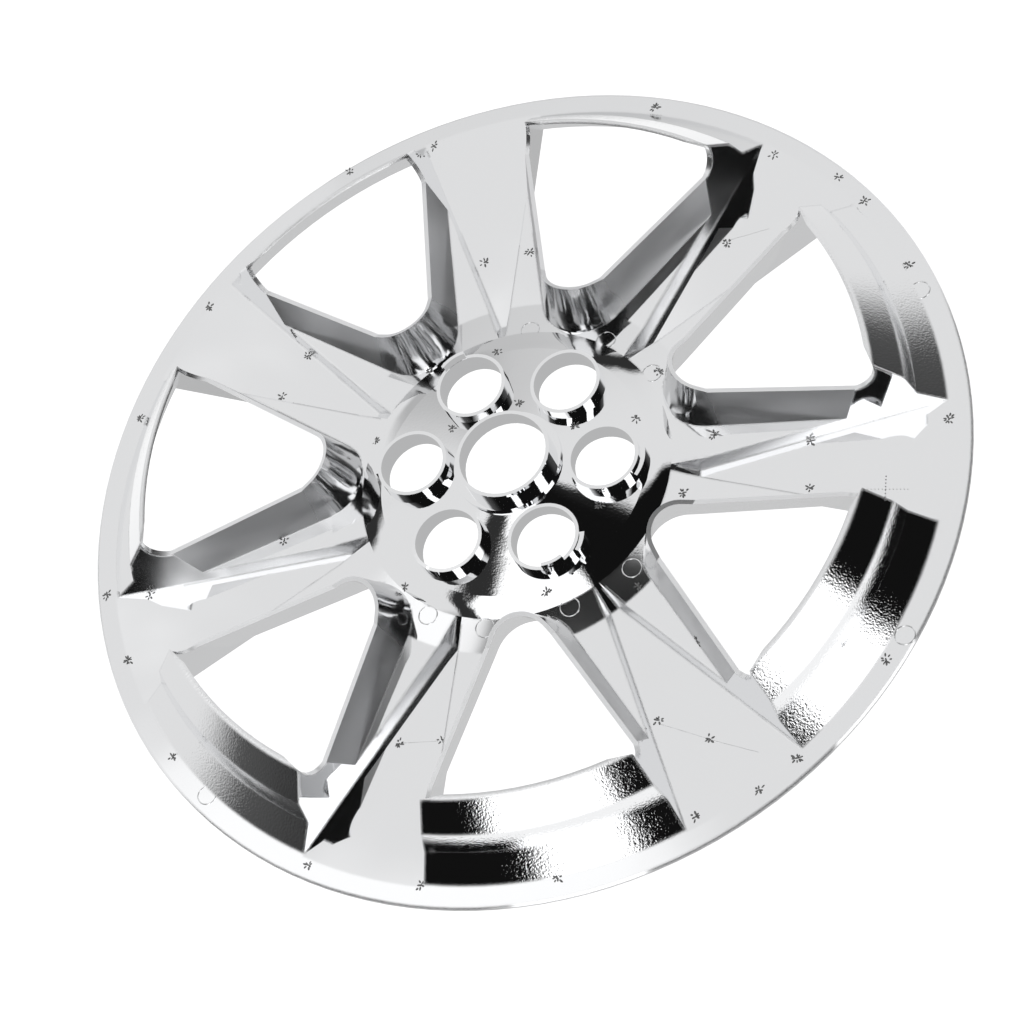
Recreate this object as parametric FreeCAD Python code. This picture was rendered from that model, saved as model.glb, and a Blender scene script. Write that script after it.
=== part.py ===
import FreeCAD, Part
import os
from math import asin, atan, cos, hypot, pi, radians, sin, sqrt, tan

# Wheel cover: one thin moulded skin with seven channel-shaped spokes, seven windows with raised
# walls, six lug collars and a centre collar.
# The axis is Z. The show face looks down (-Z) and the open back looks up (+Z).
# Lengths are in millimetres, heights are taken from the lowest point of the show face.

# Overall
outer_diameter = 548.0
wall = 2.6
spoke_count = 7

# Rim ring, the flat band outside the windows
ring_height = 11.6
ring_edge_bevel = 0.8
ring_inner_radius = 262.0

# Spoke panel, the floor of each channel
panel_end_radius = 112.0
panel_end_height = 2.6
panel_rim_reach = 255.0
panel_rim_half_width = 38.4
panel_hub_reach = 150.0
panel_hub_half_width = 12.6
channel_lean = 10.8

# Deck, the shoulder level beside the channels
deck_rim_radius = 200.0
deck_rim_height = 16.4
deck_low_radius = 118.0
deck_low_height = 12.5
deck_end_radius = 245.0

# Hub dome, a shallow cone rounded over at its edge. The cone takes a share of the dome's mean slope.
hub_radius = 97.0
hub_edge_height = 14.3
hub_top_height = 24.8
hub_fall_share = 0.85
hub_edge_round = 60.0

# Window walls
jamb_rim_reach = 200.0
jamb_rim_half_width = 26.6
jamb_hub_reach = 130.0
jamb_hub_half_width = 28.4
jamb_lean = 16.7
jamb_height = 38.3
sill_foot_radius = 98.5
sill_lean = 20.8
sill_height = 45.3
sill_run = 15.0
head_height = 54.1
head_reach = 217.5
head_sweep = 14.0

# Stepped outer wall of a window, from its free edge down to the ring
head_radius = 226.0
brow_radius = 240.4
brow_height = 37.8
step_radius = 245.0
step_height = 23.0
skirt_radius = 260.4

# Lug collars
lug_count = 6
lug_circle = 120.0
lug_collar_radius = 21.8
lug_hole_radius = 19.6
lug_collar_height = 30.6

# Centre collar on its flange
bore_radius = 26.8
bore_collar_radius = 29.0
bore_collar_height = 38.0
flange_radius = 33.4
flange_height = 28.9

# Construction limits, clear of the finished part on every side
below = -40.0
above = head_height + 40.0
beyond = outer_diameter / 2 + 60.0

outer_radius = outer_diameter / 2
pitch = 2 * pi / spoke_count
half_pitch = pitch / 2
panel_rise = (ring_height - panel_end_height) / (ring_inner_radius - panel_end_radius)
panel_flare = (panel_rim_half_width - panel_hub_half_width) / (panel_rim_reach - panel_hub_reach)
jamb_flare = (jamb_rim_half_width - jamb_hub_half_width) / (jamb_rim_reach - jamb_hub_reach)


def vec(x, y, z=0.0):
    return FreeCAD.Vector(x, y, z)


def closed_face(points):
    return Part.Face(Part.makePolygon(points + points[:1]))


# A profile is a list of (radius, height) from the axis outwards.
# Its parallel at a depth lies that far under it, with mitred corners.
def parallel(profile, depth):
    normals = []
    for (r0, z0), (r1, z1) in zip(profile, profile[1:]):
        span = hypot(r1 - r0, z1 - z0)
        normals.append(((z1 - z0) / span, (r0 - r1) / span))
    ends = [normals[0]] + normals + [normals[-1]]
    moved = []
    for (r, z), (ar, az), (br, bz) in zip(profile, ends, ends[1:]):
        mitre = depth / (1 + ar * br + az * bz)
        moved.append((r + mitre * (ar + br), z + mitre * (az + bz)))
    return moved


# Solid of revolution that fills from a profile down (or up) to a level
def turned(profile, level):
    outline = [(profile[0][0], level)] + profile + [(profile[-1][0], level)]
    face = closed_face([vec(-max(r, 0.0), 0, z) for r, z in outline])
    return face.revolve(vec(0, 0), vec(0, 0, 1), 360)


# Solid between two outlines of like edges, flat where both edges are straight
def between(low, high):
    faces = [Part.Face(Part.Wire(low)), Part.Face(Part.Wire(high))]
    for a, b in zip(low, high):
        if isinstance(a.Curve, Part.Line):
            corners = [a.Vertexes[0].Point, a.Vertexes[1].Point, b.Vertexes[1].Point, b.Vertexes[0].Point]
            faces.append(closed_face(corners))
        else:
            faces.append(Part.makeRuledSurface(a, b))
    shell = Part.makeShell(faces)
    shell.sewShape()
    solid = Part.makeSolid(shell)
    return solid if solid.Volume > 0 else solid.reversed()


def panel_height(reach):
    return panel_end_height + panel_rise * (reach - panel_end_radius)


# Side faces are planes in the spoke's frame, x out along the spoke and y across it.
# Both give the half width at a reach and a height. The depth moves the face into the wall.
def channel_half_width(reach, height, depth):
    slope = tan(radians(channel_lean))
    across = panel_flare - slope * panel_rise
    floor = panel_rim_half_width + panel_flare * (reach - panel_rim_reach)
    return floor + slope * (height - panel_height(reach)) + depth * sqrt(1 + across ** 2 + slope ** 2)


def jamb_half_width(reach, height, depth):
    slope = tan(radians(jamb_lean))
    foot = jamb_rim_half_width + jamb_flare * (reach - jamb_rim_reach)
    return foot + slope * (height - deck_rim_height) + depth * sqrt(1 + jamb_flare ** 2 + slope ** 2)


# Outline of a window's walls at one height, in the window's frame with x out along its middle
def window_outline(height, depth):
    lean = tan(radians(sill_lean))
    sill = sill_foot_radius + lean * (height - hub_edge_height) + depth * sqrt(1 + lean ** 2)
    half_angle = half_pitch - atan(jamb_flare)
    at_axis = jamb_half_width(0, height, depth)
    apex = at_axis * cos(atan(jamb_flare)) / sin(half_angle)
    centre = (sill - apex * sin(half_angle)) / (1 - sin(half_angle))
    touch = (centre - apex) * cos(half_angle)
    near = vec(apex + touch * cos(half_angle), touch * sin(half_angle), height)
    far = vec(beyond, (beyond - apex) * tan(half_angle), height)
    near_mirror = vec(near.x, -near.y, height)
    far_mirror = vec(far.x, -far.y, height)
    edges = [Part.makeLine(far, near)]
    edges.append(Part.Arc(near, vec(sill, 0, height), near_mirror).toShape())
    edges.append(Part.makeLine(near_mirror, far_mirror))
    edges.append(Part.makeLine(far_mirror, far))
    return edges


# Outline of a channel at one height, in the spoke's frame
def channel_outline(height, depth):
    start = flange_radius
    low = channel_half_width(start, height, depth)
    high = channel_half_width(beyond, height, depth)
    tip = start - low / (high - low) * (beyond - start)
    corners = [vec(tip, 0, height), vec(beyond, high, height), vec(beyond, -high, height)]
    return [Part.makeLine(a, b) for a, b in zip(corners, corners[1:] + corners[:1])]


def hub_ramp(radius):
    slope = (panel_end_height - hub_edge_height) / (panel_end_radius - hub_radius)
    return hub_edge_height + slope * (radius - hub_radius)


# Base level: the ground of the hub, the deck and the rim ring
def base_profile():
    slope = (deck_rim_height - deck_low_height) / (deck_rim_radius - deck_low_radius)
    hub = [(0, hub_edge_height), (hub_radius, hub_edge_height)]
    deck = [(deck_low_radius, deck_low_height)]
    deck.append((deck_end_radius, deck_rim_height + slope * (deck_end_radius - deck_rim_radius)))
    return hub + deck + [(deck_end_radius, ring_height)]


# Hub dome: a shallow cone off the flange, rounded over to the dome's edge and carried on below the deck
def hub_dome(depth):
    reach = hub_radius - flange_radius
    drop = hub_top_height - hub_edge_height
    fall = hub_fall_share * atan(drop / reach)
    under = drop * cos(fall) - reach * sin(fall)
    bow = sqrt(under * (2 * hub_edge_round - under))
    flat = reach * cos(fall) + drop * sin(fall) - bow
    centre_radius = flange_radius + flat * cos(fall) - hub_edge_round * sin(fall)
    centre_height = hub_top_height - flat * sin(fall) - hub_edge_round * cos(fall)
    finish = fall + asin(bow / hub_edge_round) + radians(15)
    crown = hub_edge_round - depth
    bends = [fall, (fall + finish) / 2, finish]
    touch, middle, foot = [vec(-centre_radius - crown * sin(t), 0, centre_height + crown * cos(t)) for t in bends]
    peak = vec(0, 0, touch.z - touch.x * tan(fall))
    corners = [foot, vec(foot.x, 0, below), vec(0, 0, below), peak, touch]
    edges = [Part.Arc(touch, middle, foot).toShape()]
    edges += [Part.makeLine(a, b) for a, b in zip(corners, corners[1:])]
    return Part.Face(Part.Wire(edges)).revolve(vec(0, 0), vec(0, 0, 1), 360)


# Rim ring with its bevelled edge
def ring_profile():
    flat_radius = outer_radius - ring_edge_bevel
    return [(0, ring_height), (flat_radius, ring_height), (outer_radius, ring_height - ring_edge_bevel)]


# Floor of the channels: the ramp off the hub, then the panel
def floor_profile():
    inside = flange_radius
    outside = beyond
    return [(inside, hub_ramp(inside)), (panel_end_radius, panel_end_height), (outside, panel_height(outside))]


# Stepped outer wall of the windows, from the free edge out and down
def head_profile():
    rise = (head_height - brow_height) / (head_radius - brow_radius)
    top = head_radius + (above - head_height) / rise
    fall = (ring_height - step_height) / (skirt_radius - step_radius)
    foot = skirt_radius - (ring_height + 2 * wall) / fall
    edge = [(top, above), (brow_radius, brow_height), (step_radius, step_height)]
    return edge + [(foot, -2 * wall)]


# Free edge of the walls seen across a window: high at the hub end, level along the jambs and
# swept up to the head
def free_edge_limit():
    lean = tan(radians(sill_lean))
    sill_edge = sill_foot_radius + lean * (sill_height - hub_edge_height)
    level = sill_edge + sill_run
    inside = flange_radius
    rise = sill_height + (sill_height - jamb_height) / sill_run * (sill_edge - inside)
    sweep = min(head_sweep, head_height - jamb_height)
    start = vec(head_reach - sweep, 0, jamb_height)
    centre = start + vec(0, 0, sweep)
    middle = centre + vec(sweep * cos(pi / 4), 0, -sweep * sin(pi / 4))
    end = centre + vec(sweep, 0, 0)
    corners = [vec(inside, 0, below), vec(inside, 0, rise), vec(level, 0, jamb_height), start]
    far = [end, vec(head_reach, 0, head_height), vec(beyond, 0, head_height), vec(beyond, 0, below)]
    edges = [Part.makeLine(a, b) for a, b in zip(corners, corners[1:])]
    edges.append(Part.Arc(start, middle, end).toShape())
    edges += [Part.makeLine(a, b) for a, b in zip(far, far[1:]) if a.distanceToPoint(b) > 1e-6]
    edges.append(Part.makeLine(far[-1], corners[0]))
    face = Part.Face(Part.Wire(edges))
    face.translate(vec(0, -beyond))
    return face.extrude(vec(0, 2 * beyond))


def around_axis(shape, start, step, count):
    copies = []
    for index in range(count):
        copy = shape.copy()
        copy.rotate(vec(0, 0), vec(0, 0, 1), start + index * step)
        copies.append(copy)
    return copies


# Everything under the back of the skin, at a depth below it. At depth zero the top faces are the
# back of the part, and at the wall's depth they are its show face.
def filled_form(depth, open_windows):
    base = turned(parallel(base_profile(), depth), below)
    ring = turned(ring_profile() if depth == 0 else [(0, ring_height - depth), (beyond, ring_height - depth)], below)
    walls = between(window_outline(below, depth), window_outline(above, depth))
    walls = walls.common(turned([(0, above)] + parallel(head_profile(), depth), below))
    if not open_windows:
        walls = walls.common(free_edge_limit())
    flange = Part.makeCylinder(flange_radius - depth, flange_height - depth - below, vec(0, 0, below))
    step = 360.0 / spoke_count
    form = base.fuse([ring, hub_dome(depth), flange] + around_axis(walls, step / 2, step, spoke_count))
    channel = between(channel_outline(panel_end_height - 4 * wall, depth), channel_outline(above + wall, depth))
    channel = channel.common(turned(parallel(floor_profile(), depth), above + 2 * wall))
    return form.cut(around_axis(channel, 0, step, spoke_count))


def lug_pattern(radius, base, height):
    post = Part.makeCylinder(radius, height - base, vec(lug_circle / 2, 0, base))
    return around_axis(post, 0, 360.0 / lug_count, lug_count)


def wheel_cover():
    collar_base = hub_edge_height - wall
    back = filled_form(0.0, False)
    collars = lug_pattern(lug_collar_radius, collar_base, lug_collar_height)
    collars.append(Part.makeCylinder(bore_collar_radius, bore_collar_height - collar_base, vec(0, 0, collar_base)))
    skin = back.fuse(collars).cut(filled_form(wall, True))
    holes = lug_pattern(lug_hole_radius, below, above)
    holes.append(Part.makeCylinder(bore_radius, above - below, vec(0, 0, below)))
    skin = skin.cut(holes).removeSplitter()
    return skin


shape = wheel_cover()
solid = max(shape.Solids, key=lambda item: item.Volume)
print("solids", len(shape.Solids), "valid", shape.isValid(), "volume", round(solid.Volume / 1000.0, 1), "cm3")
box = solid.optimalBoundingBox(False, False)
print("box", round(box.XLength, 2), round(box.YLength, 2), round(box.ZLength, 2), "lowest", round(box.ZMin, 3))
solid.translate(vec(0, 0, -box.ZMin))
os.makedirs("parts", exist_ok=True)
solid.exportStep("parts/wheel_cover.step")
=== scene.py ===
import bpy
import bmesh
import math
import random
from mathutils import Euler, Matrix, Vector
from mathutils.bvhtree import BVHTree


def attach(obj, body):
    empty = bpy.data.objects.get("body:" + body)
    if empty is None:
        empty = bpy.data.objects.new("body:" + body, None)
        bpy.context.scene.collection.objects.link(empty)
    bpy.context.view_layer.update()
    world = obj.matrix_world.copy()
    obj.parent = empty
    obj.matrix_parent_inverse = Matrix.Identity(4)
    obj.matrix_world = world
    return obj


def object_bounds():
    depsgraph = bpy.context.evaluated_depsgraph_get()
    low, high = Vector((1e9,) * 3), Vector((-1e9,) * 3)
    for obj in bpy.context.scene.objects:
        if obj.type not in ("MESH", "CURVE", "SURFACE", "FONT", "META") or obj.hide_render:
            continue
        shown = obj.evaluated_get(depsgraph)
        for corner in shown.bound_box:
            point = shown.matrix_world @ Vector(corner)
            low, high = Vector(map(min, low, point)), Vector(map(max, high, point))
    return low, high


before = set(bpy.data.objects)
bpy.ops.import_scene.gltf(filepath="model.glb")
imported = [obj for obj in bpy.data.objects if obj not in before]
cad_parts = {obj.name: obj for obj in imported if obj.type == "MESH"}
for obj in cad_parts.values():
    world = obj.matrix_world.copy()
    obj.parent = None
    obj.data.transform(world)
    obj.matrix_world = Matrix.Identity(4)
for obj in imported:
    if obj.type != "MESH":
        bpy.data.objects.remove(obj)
cadLow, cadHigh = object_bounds()
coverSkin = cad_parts["wheel_cover"]
print("cover loaded,", len(coverSkin.data.polygons), "faces")


# one value in a node tree: Python maths on it adds Math nodes
class Shade:
    def __init__(self, tree, socket=None):
        self.tree = tree
        self.socket = socket

    # any node: its type, its settings, then the values or links of its sockets
    def add(self, kind, settings=None, inputs=None, out=0):
        node = self.tree.nodes.new(kind)
        for key, value in (settings or {}).items():
            setattr(node, key, value)
        for key, value in (inputs or {}).items():
            if isinstance(value, Shade):
                self.tree.links.new(value.socket, node.inputs[key])
            else:
                node.inputs[key].default_value = value
        return Shade(self.tree, node.outputs[out] if len(node.outputs) else None)

    def maths(self, operation, *values):
        return self.add("ShaderNodeMath", {"operation": operation}, dict(enumerate(values)))

    def __add__(self, other):
        return self.maths("ADD", self, other)

    __radd__ = __add__

    def __sub__(self, other):
        return self.maths("SUBTRACT", self, other)

    def __rsub__(self, other):
        return self.maths("SUBTRACT", other, self)

    def __mul__(self, other):
        return self.maths("MULTIPLY", self, other)

    __rmul__ = __mul__

    def __abs__(self):
        return self.maths("ABSOLUTE", self)

    # x, y and z of a vector
    def split(self):
        return [self.add("ShaderNodeSeparateXYZ", None, {0: self}, out) for out in range(3)]

    # 0 below the edge, 1 above it, with a soft change between
    def past(self, edge, soft):
        inputs = {"Value": self - edge, "From Min": -soft, "From Max": soft}
        return self.add("ShaderNodeMapRange", {"interpolation_type": "SMOOTHSTEP"}, inputs)

    # 1 between two edges, 0 outside them
    def within(self, low, high, soft):
        return self.past(low, soft) * (1 - self.past(high, soft))

    def mixed(self, low, high):
        return low + (high - low) * self

    def root(self):
        return self.maths("SQRT", self)


def newPaint(name):
    paint = bpy.data.materials.new(name)
    paint.use_nodes = True
    paint.node_tree.nodes.clear()
    return paint, Shade(paint.node_tree)


def addThing(name, data):
    thing = bpy.data.objects.new(name, data)
    bpy.context.scene.collection.objects.link(thing)
    return thing


# camera of the photo: place in metres, turn in degrees, sensor and lens in millimetres, frame in pixels
cameraView = {
    "place": (0.58292, -0.78697, 1.45307),
    "turn": (28.816, 18.128, 7.892),
    "sensor": 36.0,
    "lens": 102.55,
    "farEnd": 50.0,
    "frame": 1024,
}

cameraData = bpy.data.cameras.new("camera")
cameraData.sensor_width = cameraView["sensor"]
cameraData.lens = cameraView["lens"]
cameraData.clip_end = cameraView["farEnd"]
camera = addThing("camera", cameraData)
camera.rotation_euler = Euler([math.radians(turn) for turn in cameraView["turn"]])
camera.location = cameraView["place"]
bpy.context.scene.camera = camera
bpy.context.scene.view_settings.view_transform = "Standard"
print("camera placed")


# studio light: bright boxes beside the camera, dark flags beyond them, a pale sweep behind the part,
# a bright box overhead with a dark frame, and a flag on its right
# angles are degrees: turn from the camera's heading, positive to its right, and rise from level;
# across and near are from straight overhead, to the right and towards the camera
studio = {
    "cameraHeading": 306.5,
    "sideSoft": 0.5,
    "sweepBright": 0.80,
    "rightDip": {"share": 0.3, "rise": 44.0, "riseSoft": 12.0, "turn": 150.0, "turnSoft": 22.0},
    "middleDip": {"share": 0.4, "across": (-12.0, 5.0), "near": (-64.0, -50.0), "soft": 4.0},
    "patch": {"bright": 1.1, "across": (-12.5, -1.5), "near": (-33.0, -25.0), "soft": 1.5},
    "stands": {"across": (17.0, 38.0), "acrossSoft": 2.0, "near": (-49.0, -41.5), "nearSoft": 1.5},
    "below": {"bright": 1.0, "rise": -22.0, "soft": 8.0},
    "wellBelow": {"bright": 0.5, "rise": -46.0, "soft": 5.0},
    "straightBelow": {"bright": 0.62, "rise": -66.0, "soft": 4.0},
    "boxes": {"bright": 1.7, "rise": (-12.0, 60.0), "riseSoft": 6.0, "soft": 1.0},
    "boxRight": {"edge": 47.0, "fan": 0.13, "level": 15.5},
    "boxLeft": {"edge": 48.5, "fan": -0.2, "level": 16.0},
    "slot": {"left": 20.6, "right": 22.3, "fan": 0.13, "level": 20.0, "rise": (4.0, 74.0), "riseSoft": 4.0},
    "flags": {"far": 109.0, "farSoft": 6.0, "rise": (-10.0, 62.0), "riseSoft": 5.0},
    "flagDark": 0.006,
    "flagEnd": {"turn": 92.0, "soft": 14.0, "paler": 0.08},
    "topBox": {"bright": 1.25, "shift": 6.0, "reach": 20.3, "soft": 0.8},
    "topFrame": {"reach": 24.6, "nearSoft": 4.0},
    "frameDark": 0.03,
    "topFlag": {"across": (0.0, 33.0), "acrossSoft": 0.8, "slant": 0.27, "back": 21.5, "backSoft": 1.5},
    "topFlagFront": {"near": 17.0, "soft": 3.0},
}


def buildStudio(values):
    world = bpy.data.worlds.new("studio")
    bpy.context.scene.world = world
    world.use_nodes = True
    world.node_tree.nodes.clear()
    shade = Shade(world.node_tree)
    x, y, z = shade.add("ShaderNodeTexCoord", out="Generated").split()
    heading = math.radians(values["cameraHeading"])
    along = x * math.cos(heading) + y * math.sin(heading)
    side = y * math.cos(heading) - x * math.sin(heading)
    turnRadians = shade.maths("ARCTAN2", side, along)
    turn = turnRadians * math.degrees(1.0)
    rise = shade.maths("ARCSINE", z) * math.degrees(1.0)
    away = abs(turn)
    right = turn.past(0.0, values["sideSoft"])
    across = (90.0 - rise) * shade.maths("SINE", turnRadians)
    near = (90.0 - rise) * shade.maths("COSINE", turnRadians)

    # pale sweep behind the part, darker low on its right and in the middle, with one bright patch
    dip = values["rightDip"]
    lowRight = (1 - rise.past(dip["rise"], dip["riseSoft"])) * turn.past(dip["turn"], dip["turnSoft"])
    sweep = values["sweepBright"] * (1 - dip["share"] * lowRight)
    dip = values["middleDip"]
    middle = across.within(*dip["across"], dip["soft"]) * near.within(*dip["near"], dip["soft"])
    sweep = sweep * (1 - dip["share"] * middle)
    spot = values["patch"]
    patch = across.within(*spot["across"], spot["soft"]) * near.within(*spot["near"], spot["soft"])
    bright = patch.mixed(sweep, spot["bright"])
    pair = values["stands"]
    stands = abs(across).within(*pair["across"], pair["acrossSoft"])
    stands = stands * near.within(*pair["near"], pair["nearSoft"])
    bright = stands.mixed(bright, values["frameDark"])

    # what the walls mirror from below level
    below, well, straight = values["below"], values["wellBelow"], values["straightBelow"]
    deep = rise.past(straight["rise"], straight["soft"]).mixed(straight["bright"], well["bright"])
    under = rise.past(well["rise"], well["soft"]).mixed(deep, below["bright"])
    bright = rise.past(below["rise"], below["soft"]).mixed(under, bright)

    # boxes beside the camera, with a dark slot between them
    def fanned(box):
        return box["edge"] + box["fan"] * (rise - box["level"])

    boxes, slot = values["boxes"], values["slot"]
    boxEdge = right.mixed(fanned(values["boxLeft"]), fanned(values["boxRight"]))
    beyond = away.past(boxEdge, boxes["soft"])
    bright = (rise.within(*boxes["rise"], boxes["riseSoft"]) * (1 - beyond)).mixed(bright, boxes["bright"])
    slotEdge = right.mixed(slot["left"], slot["right"]) + slot["fan"] * (rise - slot["level"])
    gap = (1 - away.past(slotEdge, boxes["soft"])) * rise.within(*slot["rise"], slot["riseSoft"])
    bright = gap.mixed(bright, values["flagDark"])

    # flags beyond the boxes, a little paler at their far ends
    flags, end = values["flags"], values["flagEnd"]
    flag = beyond * (1 - away.past(flags["far"], flags["farSoft"]))
    flag = flag * rise.within(*flags["rise"], flags["riseSoft"])
    flagTone = values["flagDark"] + away.past(end["turn"], end["soft"]) * end["paler"]
    bright = flag.mixed(bright, flagTone)

    # overhead box, its frame and the flag on its right
    top, edge = values["topBox"], values["topFrame"]
    shifted = across + top["shift"]
    spread = (shifted * shifted + near * near).root()
    frameBack = spread.within(top["reach"], edge["reach"], top["soft"]) * (1 - near.past(0.0, edge["nearSoft"]))
    bright = frameBack.mixed(bright, values["frameDark"])
    bright = (1 - spread.past(top["reach"], top["soft"])).mixed(bright, top["bright"])
    flag, front = values["topFlag"], values["topFlagFront"]
    topFlag = across.within(*flag["across"], flag["acrossSoft"])
    topFlag = topFlag * near.past(flag["slant"] * across - flag["back"], flag["backSoft"])
    topFlag = topFlag * (1 - near.past(front["near"], front["soft"]))
    bright = topFlag.mixed(bright, values["flagDark"])
    colour = shade.add("ShaderNodeCombineColor", None, {"Red": bright, "Green": bright, "Blue": bright})
    back = shade.add("ShaderNodeBackground", None, {"Color": colour, "Strength": 1.0})
    shade.add("ShaderNodeOutputWorld", None, {"Surface": back})


buildStudio(studio)
print("studio light set")


# pale floor under the part
floorSheet = {"side": 30.0, "drop": 0.0006, "glow": 0.95, "tone": 0.35}


def buildFloor(values):
    mesh = bpy.data.meshes.new("floor")
    half = values["side"] / 2
    low = cadLow.z - values["drop"]
    corners = [(-half, -half, low), (half, -half, low), (half, half, low), (-half, half, low)]
    mesh.from_pydata(corners, [], [(0, 1, 2, 3)])
    floor = addThing("floor", mesh)
    paint, shade = newPaint("palePaper")
    tone = values["tone"]
    paper = shade.add("ShaderNodeBsdfDiffuse", None, {"Color": (tone, tone, tone, 1.0)})
    glow = shade.add("ShaderNodeEmission", None, {"Color": (1.0, 1.0, 1.0, 1.0), "Strength": values["glow"]})
    both = shade.add("ShaderNodeAddShader", None, {0: paper, 1: glow})
    shade.add("ShaderNodeOutputMaterial", None, {"Surface": both})
    mesh.materials.append(paint)
    floor.visible_glossy = False


buildFloor(floorSheet)
print("floor laid")


# plating: mirror bright on the hub, a little softer on the level faces, satin on the side walls,
# grained on the outer window walls; the side walls also take a darker colour that is painted shade
plating = {
    "tone": (0.90, 0.905, 0.915, 1.0),
    # darker colour of the same plating for the sloped side walls: painted shade
    "satinPaintedShadeTone": (0.63, 0.633, 0.64, 1.0),
    "waveSize": 14.0,
    "waveDepth": 0.00030,
    "waveDetail": 1.0,
    "grainAlong": 750.0,
    "grainUp": 900.0,
    "grainDetail": 2.0,
    "cloudSize": 60.0,
    "cloudDetail": 2.0,
    "cloudLeast": 0.8,
    "cloudGain": 0.4,
    "bevelSamples": 2,
}

# roughness is one number, or one towards the hub and one towards the rim with the reach where it changes
brightFinish = {"rough": (0.025, 0.045), "reach": 0.098, "soft": 0.003}
satinFinish = {"rough": (0.14, 0.32), "reach": 0.124, "soft": 0.006}
channelFinish = {"rough": (0.22, 0.03), "reach": 0.188, "soft": 0.012}
finishValues = {
    "hub": {"name": "hubPlating", **brightFinish, "grain": 0.000008},
    "level": {"name": "levelPlating", **brightFinish, "rounding": 0.0020},
    # the sloped side walls take the darker colour: painted shade on top of the satin roughness
    "jamb": {"name": "satinPaintedShadePlating", **satinFinish, "tone": "satinPaintedShadeTone"},
    "channel": {"name": "channelPlating", **channelFinish, "rounding": 0.0026},
    "edge": {"name": "edgePlating", "rough": 0.30},
    "head": {"name": "grainedPlating", "rough": 0.03, "rounding": 0.0026, "grain": 0.00007},
    "under": {"name": "showPlating", "rough": 0.20},
}
trimValues = {"name": "trimPlating", **brightFinish}


def buildPlating(values, finish):
    paint, shade = newPaint(finish["name"])
    place = shade.add("ShaderNodeTexCoord", out="Object")
    x, y, z = place.split()
    radius = (x * x + y * y).root()
    waves = {"Vector": place, "Scale": values["waveSize"], "Detail": values["waveDetail"]}
    height = shade.add("ShaderNodeTexNoise", None, waves) * values["waveDepth"]
    if "grain" in finish:
        run = {"X": x * values["grainAlong"], "Y": y * values["grainAlong"], "Z": z * values["grainUp"]}
        streak = shade.add("ShaderNodeCombineXYZ", None, run)
        grains = {"Vector": streak, "Scale": 1.0, "Detail": values["grainDetail"]}
        height = height + shade.add("ShaderNodeTexNoise", None, grains) * finish["grain"]
    relief = {"Height": height, "Distance": 1.0, "Strength": 1.0}
    if "rounding" in finish:
        samples = {"samples": values["bevelSamples"]}
        relief["Normal"] = shade.add("ShaderNodeBevel", samples, {"Radius": finish["rounding"]})
    bump = shade.add("ShaderNodeBump", None, relief)
    rough = finish["rough"]
    if "reach" in finish:
        rough = radius.past(finish["reach"], finish["soft"]).mixed(*rough)
    clouds = {"Vector": place, "Scale": values["cloudSize"], "Detail": values["cloudDetail"]}
    cloud = shade.add("ShaderNodeTexNoise", None, clouds)
    rough = rough * (values["cloudLeast"] + values["cloudGain"] * cloud)
    tone = values[finish.get("tone", "tone")]
    inputs = {"Base Color": tone, "Metallic": 1.0, "Roughness": rough, "Normal": bump}
    gloss = shade.add("ShaderNodeBsdfPrincipled", None, inputs)
    shade.add("ShaderNodeOutputMaterial", None, {"Surface": gloss})
    return paint


# limits that sort the moulding's faces: reaches and levels in metres, the rest are parts of a unit normal
faceLimits = {
    "headReach": 0.2235,
    "headOutward": 0.45,
    "ringLevel": 0.0118,
    "hubReach": 0.1,
    "levelSlope": 0.5,
    "freeEdgeLevel": 0.030,
    "channelSlope": 0.235,
    "leastReach": 1e-6,
}


# which finish a face of the moulding takes, from its slope and place
def finishOf(face, limits):
    centre, normal = face.center, face.normal
    reach = math.hypot(centre.x, centre.y)
    outward = (centre.x * normal.x + centre.y * normal.y) / max(reach, limits["leastReach"])
    atHead = reach > limits["headReach"]
    if atHead and outward > limits["headOutward"] and centre.z > limits["ringLevel"]:
        return "head"
    if reach < limits["hubReach"]:
        return "hub"
    if normal.z > limits["levelSlope"]:
        if centre.z <= limits["freeEdgeLevel"]:
            return "level"
        return "head" if atHead else "edge"
    if normal.z < 0:
        return "under"
    return "channel" if normal.z < limits["channelSlope"] else "jamb"


coverSkin.data.materials.clear()
for finish in finishValues.values():
    coverSkin.data.materials.append(buildPlating(plating, finish))
finishOrder = list(finishValues)
faceFinishes = [finishOrder.index(finishOf(face, faceLimits)) for face in coverSkin.data.polygons]
coverSkin.data.polygons.foreach_set("material_index", faceFinishes)
trimPlating = buildPlating(plating, trimValues)
print("plating on the cover")


# the moulding's surface as the camera sees it at a place in the photo
skinPoints = [vertex.co for vertex in coverSkin.data.vertices]
skinTree = BVHTree.FromPolygons(skinPoints, [face.vertices for face in coverSkin.data.polygons])
cameraTurn = camera.rotation_euler.to_matrix()


def surfaceAt(across, down):
    half = cameraView["frame"] / 2
    spread = cameraData.sensor_width / 2 / cameraData.lens
    aim = cameraTurn @ Vector(((across - half) / half * spread, (half - down) / half * spread, -1.0))
    place, normal, face, reach = skinTree.ray_cast(camera.location, aim.normalized())
    if place is not None and normal.dot(aim) > 0:
        normal = -normal
    return place, normal


# where a small piece sits on the surface, its Z axis straight out
def seatAt(spot):
    place, normal = surfaceAt(*spot)
    if place is None:
        print("no surface at", *spot)
        return None
    return Matrix.Translation(place) @ normal.to_track_quat("Z", "Y").to_matrix().to_4x4()


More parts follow.
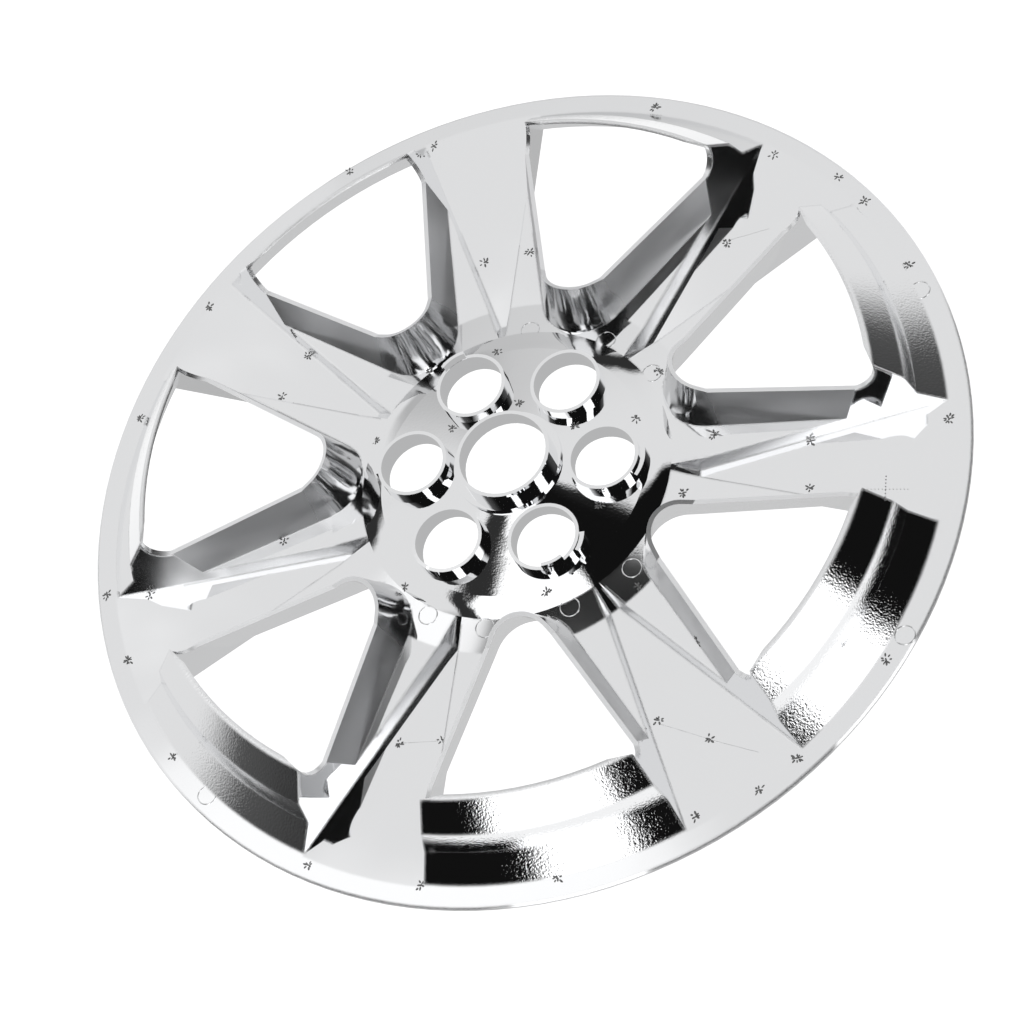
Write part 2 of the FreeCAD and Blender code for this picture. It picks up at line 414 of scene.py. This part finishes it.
# small rounded blobs gathered into one mesh
class Blobs:
    def __init__(self, around, rings):
        self.points = [Vector((0, 0, 1))]
        for ring in range(1, rings):
            lift = math.pi * ring / rings
            for step in range(around):
                swing = math.tau * step / around
                flat = math.sin(lift)
                self.points.append(Vector((flat * math.cos(swing), flat * math.sin(swing), math.cos(lift))))
        self.points.append(Vector((0, 0, -1)))
        last = len(self.points) - 1
        self.sides = []
        for step in range(around):
            after = (step + 1) % around
            self.sides.append((0, 1 + step, 1 + after))
            for ring in range(rings - 2):
                low = 1 + ring * around
                self.sides.append((low + step, low + around + step, low + around + after, low + after))
            self.sides.append((last, last - around + after, last - around + step))
        self.verts = []
        self.faces = []

    def put(self, shape):
        start = len(self.verts)
        self.verts += [shape @ point for point in self.points]
        self.faces += [[start + corner for corner in side] for side in self.sides]

    def piece(self, name):
        data = bpy.data.meshes.new(name)
        data.from_pydata(self.verts, [], self.faces)
        data.polygons.foreach_set("use_smooth", [True] * len(data.polygons))
        return addThing(name, data)


# tiny raised moulding marks, like small flowers, at places in the photo; pairs are ranges
mouldMarks = {
    "seed": 5,
    "size": 0.0033,
    "height": 0.00035,
    "petal": 0.0010,
    "petals": (6, 9),
    "swingOff": (-0.25, 0.25),
    "reach": (0.40, 1.0),
    "squash": (0.6, 1.0),
    "petalLong": (0.8, 1.5),
    "petalWide": (0.45, 0.7),
    "around": 8,
    "rings": 4,
    "places": [
        (655, 107), (774, 155), (838, 177), (864, 201), (909, 265), (949, 419), (886, 660), (797, 758),
        (759, 790), (696, 816), (557, 878), (421, 885), (308, 865), (173, 757), (128, 660), (107, 595),
        (150, 595), (209, 307), (350, 172), (434, 146), (485, 262), (530, 252), (727, 243), (659, 371),
        (714, 435), (811, 441), (810, 488), (683, 493), (697, 641), (658, 720), (709, 739), (638, 586),
        (547, 592), (519, 403), (282, 397), (308, 356), (293, 333), (376, 441), (284, 541), (399, 744),
        (443, 740), (497, 352), (430, 372), (452, 428), (574, 426), (636, 418), (600, 505), (405, 587),
        (140, 418), (467, 597),
    ],
}


def buildMarks(values):
    dice = random.Random(values["seed"])
    blobs = Blobs(values["around"], values["rings"])
    petal = values["petal"]
    for spot in values["places"]:
        seat = seatAt(spot)
        if seat is None:
            continue
        seat = seat @ Matrix.Rotation(dice.uniform(0, math.tau), 4, "Z")
        petals = dice.randint(*values["petals"])
        for step in range(petals + 1):
            swing = step / petals * math.tau + dice.uniform(*values["swingOff"])
            reach = values["size"] * dice.uniform(*values["reach"]) if step else 0.0
            squash = dice.uniform(*values["squash"])
            shift = Matrix.Translation((math.cos(swing) * reach, math.sin(swing) * reach * squash, 0))
            long = petal * dice.uniform(*values["petalLong"])
            wide = petal * dice.uniform(*values["petalWide"])
            shape = Matrix.Rotation(swing, 4, "Z") @ Matrix.Diagonal((long, wide, values["height"], 1.0))
            blobs.put(seat @ shift @ shape)
    return blobs.piece("mouldMarks")


# dull plating of the marks and dots
dullValues = {
    "tone": 0.26,
    "rough": 0.40,
    "cloudSize": 700.0,
    "cloudDetail": 2.0,
    "cloudLeast": 0.7,
    "cloudGain": 0.6,
}


def buildDullPlating(values):
    paint, shade = newPaint("dullPlating")
    place = shade.add("ShaderNodeTexCoord", out="Object")
    clouds = {"Vector": place, "Scale": values["cloudSize"], "Detail": values["cloudDetail"]}
    cloud = shade.add("ShaderNodeTexNoise", None, clouds)
    rough = values["rough"] * (values["cloudLeast"] + values["cloudGain"] * cloud)
    tone = values["tone"]
    inputs = {"Base Color": (tone, tone, tone, 1.0), "Metallic": 1.0, "Roughness": rough}
    gloss = shade.add("ShaderNodeBsdfPrincipled", None, inputs)
    shade.add("ShaderNodeOutputMaterial", None, {"Surface": gloss})
    return paint


dullPlating = buildDullPlating(dullValues)
marks = buildMarks(mouldMarks)
marks.data.materials.append(dullPlating)
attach(marks, "root")
print("moulding marks set,", len(marks.data.polygons), "faces")


# faces of a tube between cross-sections that follow each other
def skinLoops(mesh, loops, closed):
    after = loops[1:] + (loops[:1] if closed else [])
    for one, two in zip(loops, after):
        for corner in range(len(one)):
            turned = (corner + 1) % len(one)
            mesh.faces.new((one[corner], two[corner], two[turned], one[turned]))


# thin rings left by the ejector pins, at places in the photo
pinRings = {
    "radius": 0.0058,
    "width": 0.00035,
    "height": 0.00018,
    "around": 40,
    "section": 6,
    "places": [
        (570, 607), (428, 615), (920, 290), (905, 635), (207, 795),
        (530, 330), (606, 340), (632, 568), (652, 373), (485, 628),
    ],
}


def buildPinRings(values):
    mesh = bmesh.new()
    around, section = values["around"], values["section"]
    for spot in values["places"]:
        seat = seatAt(spot)
        if seat is None:
            continue
        loops = []
        for step in range(around):
            swing = step / around * math.tau
            loop = []
            for corner in range(section):
                lift = corner / section * math.tau
                reach = values["radius"] + values["width"] * math.cos(lift)
                rise = values["height"] * math.sin(lift)
                point = Vector((math.cos(swing) * reach, math.sin(swing) * reach, rise))
                loop.append(mesh.verts.new(seat @ point))
            loops.append(loop)
        skinLoops(mesh, loops, True)
    data = bpy.data.meshes.new("pinRings")
    mesh.to_mesh(data)
    mesh.free()
    data.polygons.foreach_set("use_smooth", [True] * len(data.polygons))
    return addThing("pinRings", data)


rings = buildPinRings(pinRings)
rings.data.materials.append(trimPlating)
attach(rings, "root")
print("pin rings set,", len(rings.data.polygons), "faces")


# clip tabs on some lug collars: turns in degrees, levels and lengths in metres
# a tab with no outward length carries the collar's own wall on upwards
clipTabs = {
    "lugCircle": 0.060,
    "inside": 0.01965,
    "outside": 0.0218,
    "inset": 0.00005,
    "tuck": 0.0003,
    "steps": 10,
    "tabs": [
        {"lug": 120.0, "turn": 128.0, "spread": 44.0, "low": 0.0305, "high": 0.0362, "out": 0.0},
        {"lug": 300.0, "turn": 296.0, "spread": 36.0, "low": 0.0305, "high": 0.0352, "out": 0.0},
        {"lug": 0.0, "turn": -8.0, "spread": 44.0, "low": 0.0170, "high": 0.0285, "out": 0.0035},
        {"lug": 300.0, "turn": 352.0, "spread": 30.0, "low": 0.0170, "high": 0.0300, "out": 0.0030},
        {"lug": 240.0, "turn": 236.0, "spread": 16.0, "low": 0.0305, "high": 0.0322, "out": 0.0},
        {"lug": 180.0, "turn": 180.0, "spread": 26.0, "low": 0.0170, "high": 0.0280, "out": 0.0022},
    ],
}


def buildClipTabs(values):
    mesh = bmesh.new()
    steps = values["steps"]
    for tab in values["tabs"]:
        lug = math.radians(tab["lug"])
        centre = Vector((math.cos(lug), math.sin(lug), 0)) * values["lugCircle"]
        inside, outside = values["inside"], values["outside"] - values["inset"]
        if tab["out"]:
            inside, outside = values["outside"] - values["tuck"], values["outside"] + tab["out"]
        corners = [(inside, tab["low"]), (outside, tab["low"]), (outside, tab["high"]), (inside, tab["high"])]
        loops = []
        for step in range(steps + 1):
            swing = math.radians(tab["turn"] + tab["spread"] * (step / steps - 0.5))
            aim = Vector((math.cos(swing), math.sin(swing), 0))
            points = [centre + aim * reach + Vector((0, 0, level)) for reach, level in corners]
            loops.append([mesh.verts.new(point) for point in points])
        skinLoops(mesh, loops, False)
        mesh.faces.new(loops[0])
        mesh.faces.new(loops[-1][::-1])
    bmesh.ops.recalc_face_normals(mesh, faces=mesh.faces)
    data = bpy.data.meshes.new("clipTabs")
    mesh.to_mesh(data)
    mesh.free()
    return addThing("clipTabs", data)


tabs = buildClipTabs(clipTabs)
tabs.data.materials.append(trimPlating)
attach(tabs, "root")
print("clip tabs set,", len(tabs.data.polygons), "faces")


# fine lines between places in the photo: a dotted cross on a panel and a few faint scratches
# sizes in metres, gaps in the photo's pixels
dottedCross = {
    "name": "dottedCross",
    "size": 0.00062,
    "gap": 3.4,
    "stretch": 1.0,
    "flatness": 0.5,
    "around": 6,
    "rings": 4,
    "lines": [((864, 489), (908, 489)), ((886, 476), (885, 500))],
}
scratchLines = {
    "name": "scratches",
    "size": 0.00020,
    "gap": 2.0,
    "stretch": 3.4,
    "flatness": 0.5,
    "around": 6,
    "rings": 4,
    "lines": [
        ((660, 724), (706, 738)), ((712, 740), (758, 752)), ((403, 743), (440, 741)), ((730, 240), (768, 229)),
    ],
}


def buildFineLines(values):
    blobs = Blobs(values["around"], values["rings"])
    size = values["size"]
    shape = Matrix.Diagonal((size * values["stretch"], size, size * values["flatness"], 1.0))
    for ends in values["lines"]:
        start, end = Vector(ends[0]), Vector(ends[1])
        first, last = surfaceAt(*start)[0], surfaceAt(*end)[0]
        if first is None or last is None:
            continue
        run = (last - first).normalized()
        count = int((end - start).length / values["gap"])
        for step in range(count + 1):
            place, normal = surfaceAt(*start.lerp(end, step / count))
            if place is None:
                continue
            turned = Matrix((run, normal.cross(run), normal)).transposed().to_4x4()
            blobs.put(Matrix.Translation(place) @ turned @ shape)
    return blobs.piece(values["name"])


dots = buildFineLines(dottedCross)
dots.data.materials.append(dullPlating)
scratches = buildFineLines(scratchLines)
scratches.data.materials.append(trimPlating)
for piece in (dots, scratches):
    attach(piece, "root")
print("fine lines set,", len(dots.data.polygons) + len(scratches.data.polygons), "faces")
